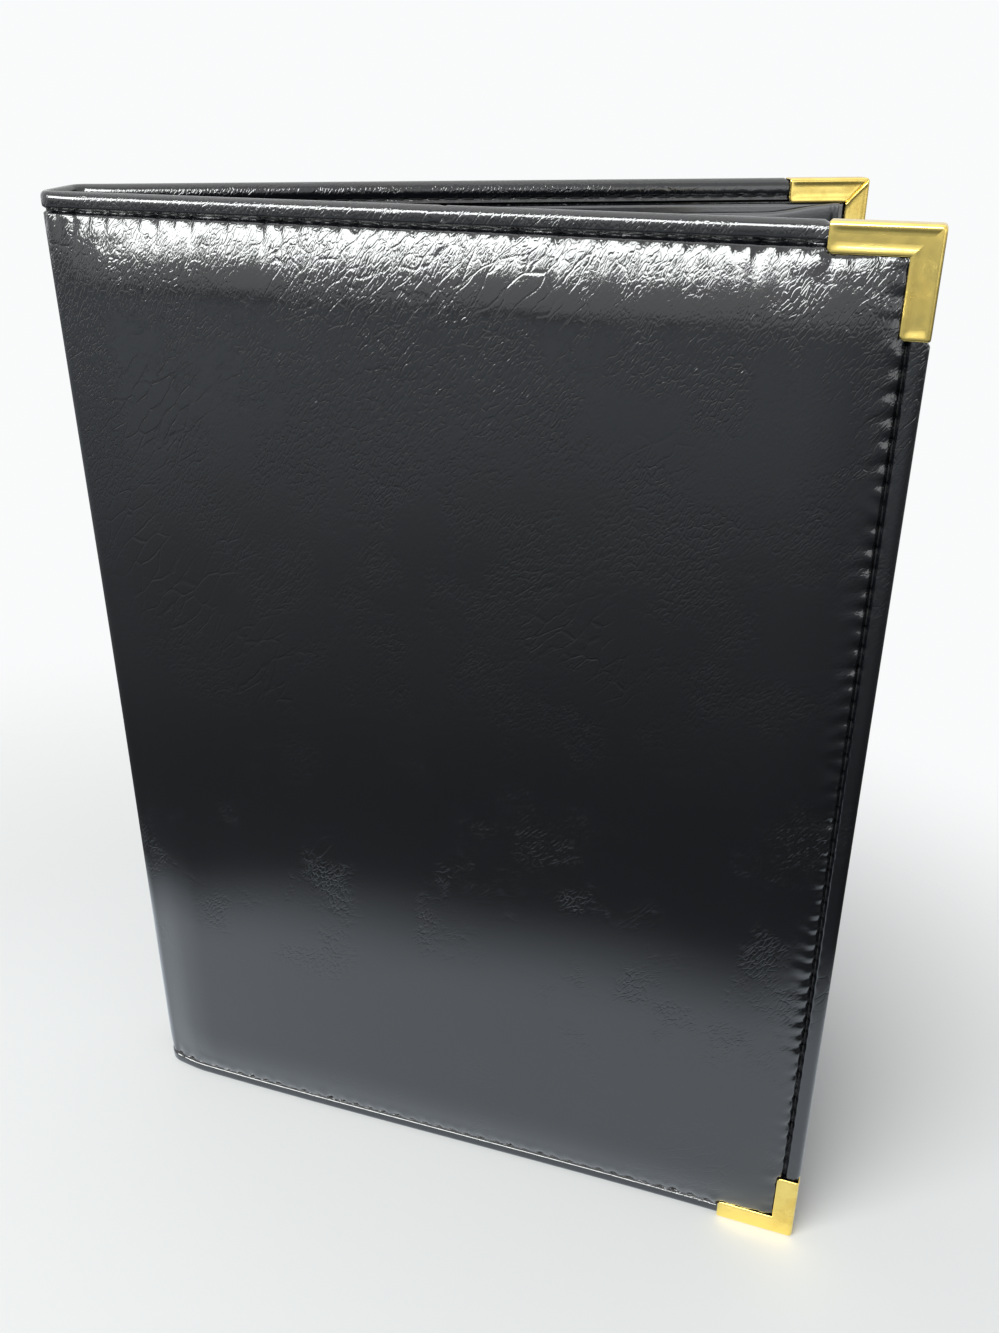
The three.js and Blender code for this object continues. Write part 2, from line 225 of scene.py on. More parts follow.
# %% [markdown]
# ## The padded hide
#
# The hide of each half is one sheet. It lies over foam and board, is stitched close to three
# edges, and rolls over the rim to the inside, where it ends in a hem under the lining. A grid is
# the flat sheet. Its rows and columns are then spaced out, close together where the rim rolls and
# a few to each stitch elsewhere, so that the needle holes can pull the surface down.

# %% Rows and columns of the sheet
PER_STITCH = 5
edge_steps = [0, 0.05, 0.2, 0.45, 0.85, 1.3, 1.8, 2.4, 3, 3.4, 3.8, 4.1, 4.4, 4.65, 4.85, 5.05]
edge_steps = np.array(edge_steps + [5.25, 5.45, 5.7, 5.95, 6.3, 6.8, 7.4, 8.1, 9]) * MM


def between(low, high, step):
    count = max(2, round((high - low) / step))
    return np.linspace(low, high, count + 1)[1:-1]


def framed(low, high, edge, step):
    """Numbers from low to high, close together at both ends and even in between."""
    middle = between(low + edge[-1], high - edge[-1], step)
    return np.concatenate([low + edge, middle, high - edge[::-1]])


def from_spine(reach, edge, step, in_spine):
    """Numbers from the middle of the spine, round the bend and on to the edge at this reach."""
    spine = np.linspace(0, SPINE_HALF, in_spine)[:-1]
    bend = np.linspace(SPINE_HALF, COVER_AT, 15)
    middle = between(COVER_AT, reach - edge[-1], step)
    return np.concatenate([spine, bend, middle, reach - edge[::-1]])


step = STITCH / PER_STITCH
columns = from_spine(HALF_WIDTH, edge_steps, step, 8)
rows = framed(0, COVER_HEIGHT, edge_steps, step)
print("sheet:", len(columns), "columns,", len(rows), "rows")


# %% The section of the rim, from its outermost line inwards
def rim_thickness(across):
    return SPINE_RIM + (RIM - SPINE_RIM) * smooth(across, SPINE_HALF, COVER_AT + 8 * MM)


def bead(off, thickness):
    """How far the rolled edge falls away from the outer face at this distance from its line."""
    radius = thickness / 2
    inside = np.clip(radius - off, 0, radius)
    return radius - np.sqrt(radius**2 - inside**2)


CHANNEL, HEM_CHANNEL = 0.95 * MM, 0.5 * MM


def channel(off, deep):
    """The groove that the thread pulls in, steeper on the padded side."""
    before = smooth(off, 4.0 * MM, SEAM - 0.1 * MM)
    after = 1 - smooth(off, SEAM + 0.15 * MM, SEAM + 0.95 * MM)
    return deep * before * after


# %% [markdown]
# ### Puffs between the stitches
#
# Each needle hole pins the hide down, and the padding lifts it again on either side. Seen along
# the seam this gives a scallop for every stitch. No two are quite alike, so a seeded list of
# heights gives each its own, as a slightly uneven hand on the machine would.

# %% Puffs and needle holes
MOST_HOLES = 200
PUCKER = 1.35 * MM
SHORT_PUCKER, LONG_PUCKER = 1.8 * MM, 4.5 * MM
luck = np.random.default_rng(12)
puff_heights = 1 + 0.35 * luck.standard_normal(MOST_HOLES)
hole_shifts = 0.25 * MM * luck.standard_normal(MOST_HOLES)


def needle_hole(along):
    """1 at a needle hole and 0 halfway to the next, for places along a seam."""
    number = np.round(along / STITCH).astype(int)
    shift = along - number * STITCH - hole_shifts[number]
    return bell(shift, 1.1 * MM), puff_heights[number]


def puckered(along, off, reach):
    """How far the hide is pulled down near a seam's holes, on both sides of the thread."""
    hole, height = needle_hole(along)
    padded_side = np.exp(-np.clip(off - SEAM, 0, None) / reach) * (off >= SEAM)
    rim_side = bell(off - SEAM, 0.9 * MM) * (off < SEAM)
    deep = PUCKER * np.sqrt(SHORT_PUCKER / reach)
    return deep * hole * height * (padded_side + 0.3 * rim_side)


# %% The swell of the foam, and how it dies away at the seams and the fold
SWELL_REACH = 22 * MM
SWELL_ROUNDNESS = 2.2


def from_end(height):
    """How far a height is from the nearer of the two ends of a cover."""
    return np.minimum(height, COVER_HEIGHT - height)


def rise(off):
    share = np.clip((off - SEAM - 0.1 * MM) / SWELL_REACH, 0, 1)
    return 1 - (1 - share) ** SWELL_ROUNDNESS


def swell(across, height):
    full = rise(HALF_WIDTH - across) * rise(from_end(height))
    return PAD_RISE * full * smooth(across, SPINE_HALF + 2 * MM, COVER_AT + 20 * MM)


def slow_waves(across, height):
    """The hide's own slow unevenness, which makes a reflection wander."""
    wave = 0.5 * np.sin(across / (31 * MM) + 1.3 * np.sin(height / (57 * MM)))
    wave = wave + 0.35 * np.sin(height / (23 * MM) + across / (41 * MM) + 2)
    wave = wave + 0.25 * np.sin((across - height) / (13 * MM) + 0.7)
    return 0.16 * MM * wave


# %% [markdown]
# ### Stuffing the sheet
#
# The gathers along a padded seam come from the cloth itself. A slightly oversized sheet is held at
# its needle holes and pushed from below, so it puffs between the holes and wrinkles behind them.
# Further in, where it is glued to the foam, the pins hold it softly in place. Only the difference
# from the smooth swell is kept, as a height for every place of the sheet.

# %% The sheet as cloth
CLOTH_STEP = STITCH / 3
CLOTH_FRAMES = 16
MOST_SUNK, MOST_RISEN = 0.5 * MM, 0.9 * MM
STUFFING_SHARE = 0.4


def grid_lines(low, high):
    inner = np.arange(math.ceil(low / CLOTH_STEP), math.floor(high / CLOTH_STEP) + 1) * CLOTH_STEP
    inner = inner[(inner - low > 0.5 * MM) & (high - inner > 0.5 * MM)]
    return np.concatenate([[low], inner, [high]])


def at_hole(along):
    return np.abs(along - np.round(along / STITCH) * STITCH) < 0.4 * CLOTH_STEP


def stuffed_difference(xs, ys):
    """Simulates the stuffed sheet, and returns how far it lies above the smooth swell."""
    cloth, across, height = laid_grid("stuffing_cloth", xs, ys)
    start = swell(across, height)
    lay(cloth, across, height, start)
    on_side, on_end = across == xs[-1], (height == ys[0]) | (height == ys[-1])
    held = (on_side & at_hole(height)) | (on_end & at_hole(across)) | (across == xs[0])
    held = held | (on_side & on_end)
    off = np.minimum(np.minimum(height - ys[0], ys[-1] - height), xs[-1] - across)
    glue = np.maximum(smooth(off, 5 * MM, 15 * MM), 1 - smooth(across - xs[0], 0, 8 * MM))
    pins = cloth.vertex_groups.new(name="pins")
    for index, weight in enumerate(np.where(held, 1.0, 0.35 * glue)):
        pins.add([index], float(weight), "REPLACE")

    modifier = cloth.modifiers.new("cloth", "CLOTH")
    settings = modifier.settings
    settings.quality = 5
    settings.mass = 0.15
    settings.air_damping = 3
    settings.tension_stiffness = settings.compression_stiffness = 5
    settings.shear_stiffness = 2.5
    settings.bending_stiffness = 0.6
    settings.vertex_group_mass = "pins"
    settings.pin_stiffness = 2
    settings.use_pressure = True
    settings.uniform_pressure_force = 3
    settings.shrink_min = -0.012
    settings.effector_weights.gravity = 0
    modifier.point_cache.frame_end = CLOTH_FRAMES
    for number in range(1, CLOTH_FRAMES + 1):
        bpy.context.scene.frame_set(number)
    apply_modifiers(cloth)
    risen = np.clip(places(cloth)[:, 2] - start, -MOST_SUNK, MOST_RISEN)
    bpy.data.objects.remove(cloth)
    bpy.context.scene.frame_set(1)
    table = np.zeros((len(xs), len(ys)))
    table[np.searchsorted(xs, across), np.searchsorted(ys, height)] = risen
    return table


def curve_weights(share):
    """The four weights of a smooth curve through points, for a place between the middle two."""
    square, cube = share**2, share**3
    return (
        (2 * square - share - cube) / 2,
        (2 - 5 * square + 3 * cube) / 2,
        (share + 4 * square - 3 * cube) / 2,
        (cube - square) / 2,
    )


def read_table(table, xs, ys, across, height):
    """The table's value at any place, smoothly between its points."""
    column = np.interp(across, xs, np.arange(len(xs)))
    row = np.interp(height, ys, np.arange(len(ys)))
    first_column, first_row = np.floor(column).astype(int), np.floor(row).astype(int)
    total = 0
    for i, across_weight in enumerate(curve_weights(column - first_column)):
        for j, height_weight in enumerate(curve_weights(row - first_row)):
            at_column = np.clip(first_column + i - 1, 0, len(xs) - 1)
            at_row = np.clip(first_row + j - 1, 0, len(ys) - 1)
            total = total + across_weight * height_weight * table[at_column, at_row]
    return total


cloth_xs = grid_lines(COVER_AT - 1 * MM, HALF_WIDTH - SEAM)
cloth_ys = grid_lines(SEAM, COVER_HEIGHT - SEAM)
stuffing = stuffed_difference(cloth_xs, cloth_ys)
print("stuffing lifts the sheet by up to", round(stuffing.max() / MM, 2), "mm")


def stuffed(across, height):
    """The simulated difference, from just inside the seams to where the glue holds the sheet."""
    off = np.minimum(from_end(height), HALF_WIDTH - across)
    share = smooth(off, SEAM, SEAM + 0.9 * MM) * (1 - smooth(off, SEAM + 2 * MM, SEAM + 9 * MM))
    share = share * smooth(across, COVER_AT - 1 * MM, COVER_AT + 3 * MM)
    return STUFFING_SHARE * share * read_table(stuffing, cloth_xs, cloth_ys, across, height)


# %% The outer face of the hide
def outer_depth(across, height):
    off_side = HALF_WIDTH - across
    off_end = from_end(height)
    off = np.minimum(off_side, off_end)
    reach = np.where(height > COVER_HEIGHT / 2, LONG_PUCKER, SHORT_PUCKER)
    along_end = puckered(across, off_end, reach)
    along_side = puckered(height, off_side, SHORT_PUCKER)
    pulled = np.where(off_end < off_side, along_end, along_side)
    depth = bead(off, rim_thickness(across)) + channel(off, CHANNEL)
    padded = smooth(off, 8 * MM, 30 * MM) * smooth(across, COVER_AT, COVER_AT + 30 * MM)
    depth = depth - swell(across, height) - stuffed(across, height)
    return depth + pulled + slow_waves(across, height) * padded


# %% [markdown]
# ### Room for the brass
#
# A brass corner is squeezed on over the finished rim, so the hide under it is pressed flat and
# bulges out at the ends of the two legs. The same L that the brass covers is pressed here.

# %% Pressing the hide under a brass corner
LEG = 25 * MM
BAND = 7 * MM
PRESSED = 0.8 * MM


def under_brass(across, height, spare):
    off_side = HALF_WIDTH - across
    off_end = from_end(height)
    near = (off_side < LEG + spare) & (off_end < LEG + spare)
    return near & (np.minimum(off_side, off_end) < BAND + spare)


def press_corner(across, depth, height):
    """Presses points that the brass covers, and lifts the hide just past the legs' ends."""
    off_side = HALF_WIDTH - across
    off_end = from_end(height)
    pressed = under_brass(across, height, 0.35 * MM)
    depth = np.where(pressed, np.clip(depth, 0.02 * MM, RIM - 0.02 * MM), depth)
    across = np.where(pressed, np.minimum(across, HALF_WIDTH - PRESSED), across)
    height = np.where(pressed, np.clip(height, PRESSED, COVER_HEIGHT - PRESSED), height)
    past_leg = np.maximum(off_side, off_end) - LEG
    at_band = bell(np.minimum(off_side, off_end) - BAND, 3.2 * MM)
    bulge = 0.5 * MM * at_band * bell(past_leg - 1.6 * MM, 1.5 * MM)
    depth = np.where((past_leg > 0) & (depth < RIM / 2), depth - bulge, depth)
    return across, depth, height


# %% Laying out the sheet and turning its hem
HEM_STEPS = [0.2, 0.85, 2.1, 3.2, 4.0, 4.5, 5.0, 5.5, 6.0, 6.8]
UNDER_LINING = 1.1 * MM


def hem_depth(off, across):
    thickness = rim_thickness(across)
    return thickness - bead(off, thickness) - channel(off, HEM_CHANNEL)


def select_open_edges(piece, wanted=lambda middle: True):
    """In edit mode, selects the edges with one face whose middle passes the test."""
    bpy.ops.mesh.select_mode(type="EDGE")
    bpy.ops.mesh.select_all(action="DESELECT")
    bpy.ops.mesh.select_non_manifold(
        extend=False, use_wire=False, use_boundary=True, use_multi_face=False,
        use_non_contiguous=False, use_verts=False,
    )
    bpy.ops.object.mode_set(mode="OBJECT")
    spots = places(piece)
    for edge in piece.data.edges:
        if edge.select:
            a, b = edge.vertices
            edge.select = bool(wanted((spots[a] + spots[b]) / 2))
    bpy.ops.object.mode_set(mode="EDIT")


def turn_hem(sheet):
    """Extrudes the free edges ring by ring, over the rim and in along the inner face."""
    bpy.ops.object.mode_set(mode="EDIT")
    select_open_edges(sheet)
    for number, off in enumerate(HEM_STEPS):
        off = off * MM
        bpy.ops.mesh.extrude_region_move()
        bpy.ops.object.mode_set(mode="OBJECT")
        ring = np.array([v.index for v in sheet.data.vertices if v.select])
        spots = places(sheet)
        across, height = spots[ring, 0], spots[ring, 1]
        share = (number + 1) / len(HEM_STEPS)
        new_across = np.minimum(across, HALF_WIDTH - off)
        new_height = np.clip(height, off, COVER_HEIGHT - off)
        at_spine = across < 1e-6
        inner = hem_depth(np.full(len(ring), off), new_across)
        off_end = from_end(new_height)
        along = np.where(off_end <= off + 1e-7, new_across, new_height)
        hole, strength = needle_hole(along)
        inner = inner - 0.3 * MM * hole * strength * bell(off - SEAM, 0.9 * MM)
        if number == len(HEM_STEPS) - 1:
            inner = inner - UNDER_LINING
        middle = at_spine & (off_end > off + 1e-7)
        inner = np.where(middle, share * (SPINE_RIM - UNDER_LINING), inner)
        spots[ring] = np.stack([new_across, new_height, inner], axis=-1)
        move_to(sheet, spots)
        bpy.ops.object.mode_set(mode="EDIT")


def close_inside(sheet):
    """Bridges the hem's upper end to its lower one, and fills the strips left at both sides."""
    inner_off = HEM_STEPS[-1] * MM
    low, high = inner_off + 1e-6, COVER_HEIGHT - inner_off - 1e-6
    right = HALF_WIDTH - inner_off - 1e-6
    bpy.ops.mesh.remove_doubles(threshold=1e-7)
    bpy.ops.mesh.select_all(action="SELECT")
    bpy.ops.mesh.remove_doubles(threshold=2e-6)

    def at_ends(middle):
        return not low < middle[1] < high and columns[1] < middle[0] < right - STITCH / 2

    select_open_edges(sheet, at_ends)
    bpy.ops.mesh.bridge_edge_loops()
    for is_side in (lambda m: m[0] < columns[2], lambda m: m[0] > columns[2]):
        select_open_edges(sheet, is_side)
        bpy.ops.mesh.edge_face_add()
    bpy.ops.object.mode_set(mode="OBJECT")


LAP_AT = FOLD_LINE + 120 * MM


def lapped(across, depth, height):
    """A short lap in the front cover's upper rim, where the turned hide is doubled."""
    place = (across - LAP_AT) / MM
    on_rim = smooth(height, COVER_HEIGHT - 4.4 * MM, COVER_HEIGHT - 3.4 * MM)
    lap = np.exp(-((place / 1.9) ** 6)) * on_rim
    notch = bell(place - 1.2, 0.5) * lap
    towards_middle = np.clip((RIM / 2 - depth) / (RIM / 2), -1, 1)
    depth = depth - 0.3 * MM * lap * towards_middle + 0.9 * MM * notch * towards_middle
    return depth, height - 0.3 * MM * notch


def padded_half(name, side):
    """One half of the portfolio's hide: laid out, hemmed, closed, pressed and folded."""
    sheet, across, height = laid_grid(name, columns, rows)
    lay(sheet, across, height, outer_depth(across, height))
    turn_hem(sheet)
    close_inside(sheet)
    spots = places(sheet)
    across, depth, height = press_corner(spots[:, 0], spots[:, 2], spots[:, 1])
    outermost = (HALF_WIDTH - across < 0.5 * MM) & (np.abs(depth - 2.5 * MM) < 0.9 * MM)
    mark = sheet.data.attributes.new("cut_edge", "FLOAT", "POINT")
    mark.data.foreach_set("value", outermost.astype(np.float32))
    if side == FRONT:
        depth, height = lapped(across, depth, height)
    move_to(sheet, wrap(across, depth, height, side))
    shade_outwards(sheet, 50)
    return sheet


front_hide = padded_half("front_hide", FRONT)
back_hide = padded_half("back_hide", BACK)
print("hide:", len(front_hide.data.polygons), "faces in each half")

# %% [markdown]
# ## The sewing thread
#
# A lockstitch shows as a row of short bars, each diving into a needle hole at both ends. One
# stitch is modelled as a thin bar along X, one unit long. An Array modifier repeats it in a
# straight row, and the row is then laid along a seam, so every bar ends in two real holes.

# %% One stitch, and a straight row of it
THREAD = 0.62 * MM


def straight_stitches(count):
    bpy.ops.object.select_all(action="DESELECT")
    bpy.ops.mesh.primitive_cylinder_add(vertices=6, radius=THREAD / 2, depth=1)
    row = bpy.context.object
    spots = places(row)
    for edge in row.data.edges:
        a, b = edge.vertices
        edge.select = bool(abs(spots[a][2] - spots[b][2]) > 0.5)
    bpy.ops.object.mode_set(mode="EDIT")
    bpy.ops.mesh.select_mode(type="EDGE")
    bpy.ops.mesh.subdivide(number_cuts=4)
    bpy.ops.object.mode_set(mode="OBJECT")
    spots = places(row)
    share = spots[:, 2] + 0.5
    thickness = 0.72 + 0.28 * np.sin(np.pi * share)
    lay(row, 0.03 + 0.94 * share, spots[:, 0] * thickness, spots[:, 1] * thickness)
    repeat = row.modifiers.new("stitches", "ARRAY")
    repeat.use_relative_offset = False
    repeat.use_constant_offset = True
    repeat.constant_offset_displace = (1, 0, 0)
    repeat.count = count
    apply_modifiers(row)
    return row


# %% Laying rows along the seams
def hole_place(number):
    return number * STITCH + hole_shifts[number]


def lay_stitches(first, last, to_place):
    """Stitches from the first hole to the last, each point placed by to_place."""
    row = straight_stitches(last - first)
    spots = places(row)
    number = np.floor(spots[:, 0]).astype(int)
    share = spots[:, 0] - number
    number = number + first
    along = hole_place(number) * (1 - share) + hole_place(number + 1) * share
    dip = smooth(np.abs(share - 0.5), 0.26, 0.5)
    move_to(row, to_place(along, spots[:, 1], spots[:, 2], dip))
    return row


def joined(pieces, name):
    """One object made of several, under a new name."""
    bpy.ops.object.select_all(action="DESELECT")
    for piece in pieces:
        piece.select_set(True)
    bpy.context.view_layer.objects.active = pieces[0]
    bpy.ops.object.join()
    whole = pieces[0]
    whole.name = name
    face_outwards(whole)
    bpy.ops.object.shade_smooth()
    return whole


OUTER_THREAD, INNER_THREAD = 1.16 * MM, 0.52 * MM


def thread_depth(across, dip, outside):
    """How deep the middle of the thread lies, and how it dives at its ends."""
    if outside:
        return OUTER_THREAD + 0.7 * MM * dip
    return rim_thickness(across) - INNER_THREAD - 0.6 * MM * dip


def seam(side, edge, outside):
    """How to place the points of a row along the top, the bottom or the fore-edge."""

    def to_place(along, sideways, up, dip):
        off = SEAM + sideways
        across = HALF_WIDTH - off if edge == "fore" else along
        height = {"top": COVER_HEIGHT - off, "bottom": off, "fore": along}[edge]
        return wrap(across, thread_depth(across, dip, outside) + up, height, side)

    return to_place


def seam_thread(name, side):
    """The thread of one half, up to where it goes under the brass."""
    hidden = LEG - 1 * MM
    last_end = int((HALF_WIDTH - hidden) / STITCH)
    first_side, last_side = math.ceil(hidden / STITCH), int((COVER_HEIGHT - hidden) / STITCH)
    rows = []
    for outside in (True, False):
        for edge, first, last in (
            ("top", 0, last_end),
            ("bottom", 0, last_end),
            ("fore", first_side, last_side),
        ):
            rows.append(lay_stitches(first, last, seam(side, edge, outside)))
    return joined(rows, name)


front_thread = seam_thread("front_thread", FRONT)
back_thread = seam_thread("back_thread", BACK)
print("thread:", len(front_thread.data.polygons), "faces in each half")

# %% [markdown]
# ## The brass corners
#
# Each corner is one stamping. Its section is a U that clasps the rim, and the U runs along both
# legs and turns at the corner on a mitre. A grid is the skin: one way it follows the section, the
# other way it runs from the end of one leg over the mitre to the end of the other. The stamp
# leaves a rolled border along the free edges, and between the borders the face is a little hollow.

# %% The section of the brass
BRASS_OUT = 0.8 * MM
BRASS_IN = RIM + 0.8 * MM
WALL_RADIUS = 0.85 * MM

face_offs = [7, 6.96, 6.86, 6.7, 6.5, 6.2, 5.85, 5.4, 4.9, 4.2, 3.4, 2.6, 2.1, 1.7, 1.4, 1.1]
face_offs = np.array(face_offs) * MM
arc = np.radians([0, 15, 30, 45, 60, 75, 90])
section_off = np.concatenate(
    [face_offs, WALL_RADIUS * (1 - np.sin(arc)), [0, 0], WALL_RADIUS * (1 - np.sin(arc[::-1]))]
)
section_off = np.append(section_off, face_offs[::-1])
section_depth = np.concatenate(
    [
        np.full(len(face_offs), BRASS_IN),
        BRASS_IN - WALL_RADIUS * (1 - np.cos(arc)),
        [2.8 * MM, 1.4 * MM],
        WALL_RADIUS * (1 - np.cos(arc[::-1])) - BRASS_OUT,
        np.full(len(face_offs), -BRASS_OUT),
    ]
)
inward_off = np.concatenate([0 * face_offs, np.sin(arc), [1, 1], np.sin(arc[::-1]), 0 * face_offs])
inward_depth = np.concatenate(
    [0 * face_offs - 1, -np.cos(arc), [0, 0], np.cos(arc[::-1]), 0 * face_offs + 1]
)
leg_steps = [0, 0.006, 0.012, 0.022, 0.036, 0.055, 0.09, 0.16, 0.3, 0.45, 0.6, 0.73]
leg_steps = np.array(leg_steps + [0.82, 0.88, 0.92, 0.95, 0.97, 0.982, 0.991, 0.997, 1])


# %% Thickness and round tips
def thicken(piece, thickness, offset=-1, crease=45):
    """Gives a skin its thickness, behind the face whose normals point out if offset is -1."""
    solid = piece.modifiers.new("thickness", "SOLIDIFY")
    solid.thickness = thickness
    solid.offset = offset
    apply_modifiers(piece)
    shade_outwards(piece, crease)


def round_tip(first, second, radius):
    """Rounds the corner where both distances are 0, by squeezing a square into a circle."""
    a, b = np.clip(radius - first, 0, None), np.clip(radius - second, 0, None)
    longest, length = np.maximum(a, b), np.hypot(a, b)
    scale = np.where(length > 0, longest / np.where(length > 0, length, 1), 1)
    both = (a > 0) & (b > 0)
    return np.where(both, radius - a * scale, first), np.where(both, radius - b * scale, second)


# %% The skin of one corner
def corner_skin():
    """One corner, laid out as X off the fore-edge, Y off the end, and Z depth."""
    ways = np.concatenate([-leg_steps[:0:-1], leg_steps])
    skin, station, way = laid_grid("corner", np.arange(len(section_off)), ways)
    station = station.astype(int)
    off, depth = section_off[station], section_depth[station]
    end_round = 1.5 * MM
    past = np.clip(off - (BAND - end_round), 0, end_round)
    leg_end = LEG - end_round + np.sqrt(end_round**2 - past**2)
    run = off + np.abs(way) * (leg_end - off)

    border = np.minimum(BAND - off, leg_end - run)
    lip = 0.5 * MM
    inside = np.clip(lip - border, 0, lip)
    drop = 0.62 * (lip - np.sqrt(lip**2 - inside**2))
    on_face = np.abs(inward_depth[station]) == 1
    drop = drop + 0.2 * MM * on_face * smooth(np.minimum(border, off), 0.9 * MM, 2.1 * MM)
    inner = on_face & (depth > RIM)
    mitre = run - off
    groove = 0.26 * MM * bell(mitre, 0.2 * MM)
    lift = np.where(way > 0, 0.2, 0.06) * MM * bell(mitre - 0.7 * MM, 0.4 * MM)
    drop = drop + inner * (groove - lift)

    off = off + inward_off[station] * drop
    depth = depth + inward_depth[station] * drop
    off_side, off_end = np.where(way < 0, run, off), np.where(way < 0, off, run)
    off_side, off_end = round_tip(off_side, off_end, 1.2 * MM)
    lay(skin, off_side, off_end, depth)
    return skin


def brass_corner(pattern, name, side, top):
    """A copy of the corner, folded round its own corner of a cover."""
    corner = pattern.copy()
    corner.data = pattern.data.copy()
    corner.name = name
    bpy.context.scene.collection.objects.link(corner)
    spots = places(corner)
    height = COVER_HEIGHT - spots[:, 1] if top else spots[:, 1]
    move_to(corner, wrap(HALF_WIDTH - spots[:, 0], spots[:, 2], height, side))
    shade_outwards(corner, 45)
    return corner


pattern = corner_skin()
print("corner skin:", len(pattern.data.polygons), "faces")
outer_faces = [p for p in pattern.data.polygons if p.center.z < -0.7 * MM]
if outer_faces[0].normal.z > 0:
    pattern.data.flip_normals()
thicken(pattern, 0.4 * MM)
brass_corners = {}
for side, body in ((FRONT, "front"), (BACK, "back")):
    for end in ("top", "bottom"):
        name = f"{body}_{end}_brass"
        brass_corners[name] = brass_corner(pattern, name, side, end == "top")
bpy.data.objects.remove(pattern)

# %% [markdown]
# ## The linings
#
# Inside, a sheet of leatherette is glued over the board and runs from hem to hem, through the
# fold. It follows the rim's inner face, with its own turned edge just inside the hem.

# %% One lining per half
LINING_OFF = HEM + 0.35 * MM
CLOTH = 0.6 * MM
FINE_STEP = 2.5 * MM


def turned_edge(off, thick):
    """How far a turned edge rounds down at this distance from its fold."""
    return bead(off, 2 * thick) * 0.8


def fit_inside(sheet, side):
    """Gives a flat-laid inner sheet its thickness, behind the face that is seen, and folds it."""
    if sheet.data.polygons[len(sheet.data.polygons) // 2].normal.z < 0:
        sheet.data.flip_normals()
    thicken(sheet, CLOTH)
    fold(sheet, side)


def lining_half(name, side):
    edge = np.array([0, 0.1, 0.3, 0.6, 1, 1.6, 3]) * MM
    xs = from_spine(HALF_WIDTH - LINING_OFF, edge, FINE_STEP, 6)
    low, high = LINING_OFF, COVER_HEIGHT - LINING_OFF
    lining, across, height = laid_grid(name, xs, framed(low, high, edge, FINE_STEP))
    off = np.minimum(np.minimum(height - low, high - height), HALF_WIDTH - LINING_OFF - across)
    depth = rim_thickness(across) - turned_edge(off, CLOTH)
    in_bend = smooth(across, SPINE_HALF, SPINE_HALF + 3 * MM)
    in_bend = in_bend * (1 - smooth(across, COVER_AT, COVER_AT + 9 * MM))
    gathers = np.sin(height / (2.4 * MM) + 2 * np.sin(height / (19 * MM)))
    depth = depth + 0.16 * MM * in_bend * gathers * (0.5 + 0.5 * np.sin(height / (31 * MM)))
    lay(lining, across, height, depth)
    fit_inside(lining, side)
    return lining


front_lining = lining_half("front_lining", FRONT)
back_lining = lining_half("back_lining", BACK)
print("lining:", len(front_lining.data.polygons), "faces in each half")

# %% [markdown]
# ## Pockets
#
# A pocket is a sheet sewn down on three sides. Its mouth has a hem, twice as thick and with its
# own line of stitches, and it stands off the lining a little in the middle.

# %% Pockets
POCKET_SEAM, MOUTH_SEAM = 2.2 * MM, 1.3 * MM


def pocket_depth(shape, across, height):
    """The depth of a pocket's face, on a flat half."""
    left, right = shape["left"], shape["right"]
    mouth = shape["mouth"](across)
    off_mouth = mouth - height
    middle = 1 - ((2 * across - left - right) / (right - left)) ** 2
    stand_off = shape["gape"] * middle * smooth(height, mouth - 90 * MM, mouth)
    hem = 0.5 * MM * (1 - smooth(off_mouth, shape["hem"], shape["hem"] + 0.9 * MM))
    off = np.minimum(np.minimum(across - left, right - across), height - shape["bottom"])
    sewn = 0.3 * MM * bell(off - POCKET_SEAM, 0.8 * MM)
    hem_seam = 0.22 * MM * bell(off_mouth - shape["hem"] + MOUTH_SEAM, 0.5 * MM)
    turned = turned_edge(np.minimum(off, off_mouth), CLOTH)
    wave = 0.15 * MM * np.sin(across / (17 * MM) + height / (29 * MM))
    wave = wave * smooth(off, 3 * MM, 20 * MM)
    return shape["base"] + CLOTH + stand_off + hem + wave - sewn - hem_seam - turned


def pocket(name, side, shape):
    edge = np.array([0, 0.15, 0.4, 0.8, 1.3, 1.8, 2.2, 2.6, 3.1, 4]) * MM
    left, right, bottom, hem = shape["left"], shape["right"], shape["bottom"], shape["hem"]
    xs = framed(left, right, edge, FINE_STEP)
    tall = shape["mouth"](np.array([right]))[0] - bottom
    about_seam = hem + np.array([-2.2, -1.7, -1.3, -0.9, -0.4, 0, 0.45, 0.9]) * MM
    top = np.append(np.array([0, 0.1, 0.3, 0.6, 1.2]) * MM, about_seam)
    lows = np.concatenate([edge, between(edge[-1], tall - top[-1], FINE_STEP)])
    ys = np.concatenate([lows, tall - top[::-1]])
    sheet, across, up = laid_grid(name, xs, ys)
    mouth = shape["mouth"](across)
    height = bottom + up * (mouth - bottom) / tall
    lay(sheet, across, height, pocket_depth(shape, across, height))
    fit_inside(sheet, side)
    return sheet


